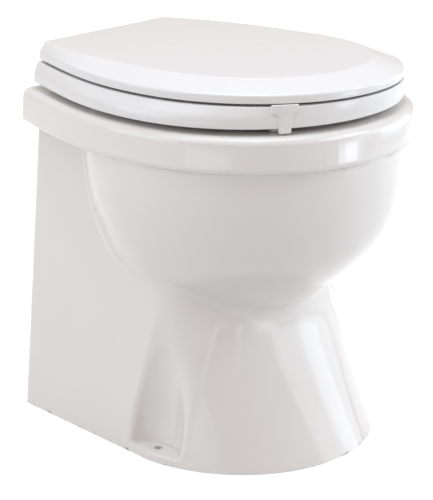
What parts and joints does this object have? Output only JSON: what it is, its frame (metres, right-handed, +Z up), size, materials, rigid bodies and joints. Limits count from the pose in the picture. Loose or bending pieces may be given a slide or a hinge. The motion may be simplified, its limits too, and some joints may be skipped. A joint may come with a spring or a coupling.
{
  "type": "electric marine toilet",
  "caption": "Compact electric boat toilet: one-piece glazed bowl and pedestal, hinged seat and lid, and a motor-driven chopper pump in the open-backed foot.",
  "frame": {"origin": "on the floor, under the middle of the object's width and depth", "axes": "+Z up, -Y towards the front of the bowl, +X to the right of a person who faces the front, so to the side of the discharge elbow"},
  "size_m": [0.332, 0.388, 0.4],
  "materials": {
    "vitreous_china": "white gloss glaze",
    "seat_plastic": "white gloss",
    "hinge_plastic": "white satin",
    "stainless": "brushed",
    "black_rubber": "matt",
    "clear_buffer": "soft, milky",
    "pump_plastic": "moulded",
    "motor_paint": "satin paint",
    "base_plastic": "moulded",
    "bronze": "turned",
    "steel_laminate": "bare laminate"
  },
  "bodies": {
    "toilet": {"base_foot_front_left": "black_rubber", "base_foot_front_right": "black_rubber", "base_foot_rear_left": "black_rubber", "base_foot_rear_right": "black_rubber", "cable_gland": "pump_plastic", "china_bowl": "vitreous_china", "cover_screw_1": "stainless", "cover_screw_2": "stainless", "cover_screw_3": "stainless", "cover_screw_4": "stainless", "discharge_elbow": "pump_plastic", "elbow_screw_lower": "stainless", "elbow_screw_upper": "stainless", "field_magnet_left": "steel_laminate", "field_magnet_right": "steel_laminate", "front_bearing": "stainless", "hinge_nut_left": "hinge_plastic", "hinge_nut_right": "hinge_plastic", "hinge_pin_left": "stainless", "hinge_pin_right": "stainless", "hinge_post_left": "hinge_plastic", "hinge_post_right": "hinge_plastic", "hinge_washer_left": "black_rubber", "hinge_washer_right": "black_rubber", "joker_valve": "black_rubber", "macerator_cover": "pump_plastic", "macerator_housing": "pump_plastic", "motor_can": "motor_paint", "motor_end_cap": "motor_paint", "motor_strap_front": "stainless", "motor_strap_rear": "stainless", "outlet_clamp_lower": "stainless", "outlet_clamp_upper": "stainless", "outlet_elbow": "black_rubber", "pump_base_plate": "base_plastic", "rear_bearing": "stainless", "rinse_elbow": "pump_plastic", "rinse_seal": "black_rubber", "shaft_seal": "black_rubber", "strap_screw_front_left": "stainless", "strap_screw_front_right": "stainless", "strap_screw_rear_left": "stainless", "strap_screw_rear_right": "stainless"},
    "seat": {"seat": "seat_plastic", "seat_lift_tab": "seat_plastic", "seat_bumper_front_left": "clear_buffer", "seat_bumper_front_right": "clear_buffer", "seat_bumper_rear_left": "clear_buffer", "seat_bumper_rear_right": "clear_buffer"},
    "lid": {"lid": "seat_plastic", "lid_bumper_left": "clear_buffer", "lid_bumper_right": "clear_buffer"},
    "rotor": {"motor_shaft": "stainless", "chopper_blade": "stainless", "impeller": "pump_plastic", "armature": "steel_laminate", "commutator": "bronze"}
  },
  "joints": [
    {"name": "seat_hinge", "type": "hinge", "parent": "toilet", "child": "seat", "pos_m": [0, 0.175, 0.38], "axis": [-1, 0, 0], "range_deg": [0, 95]},
    {"name": "lid_hinge", "type": "hinge", "parent": "seat", "child": "lid", "pos_m": [0, 0.175, 0.38], "axis": [-1, 0, 0], "range_deg": [0, 95]},
    {"name": "pump_spin", "type": "hinge", "parent": "toilet", "child": "rotor", "pos_m": [0, 0.1, 0.055], "axis": [0, 1, 0], "continuous": true}
  ]
}
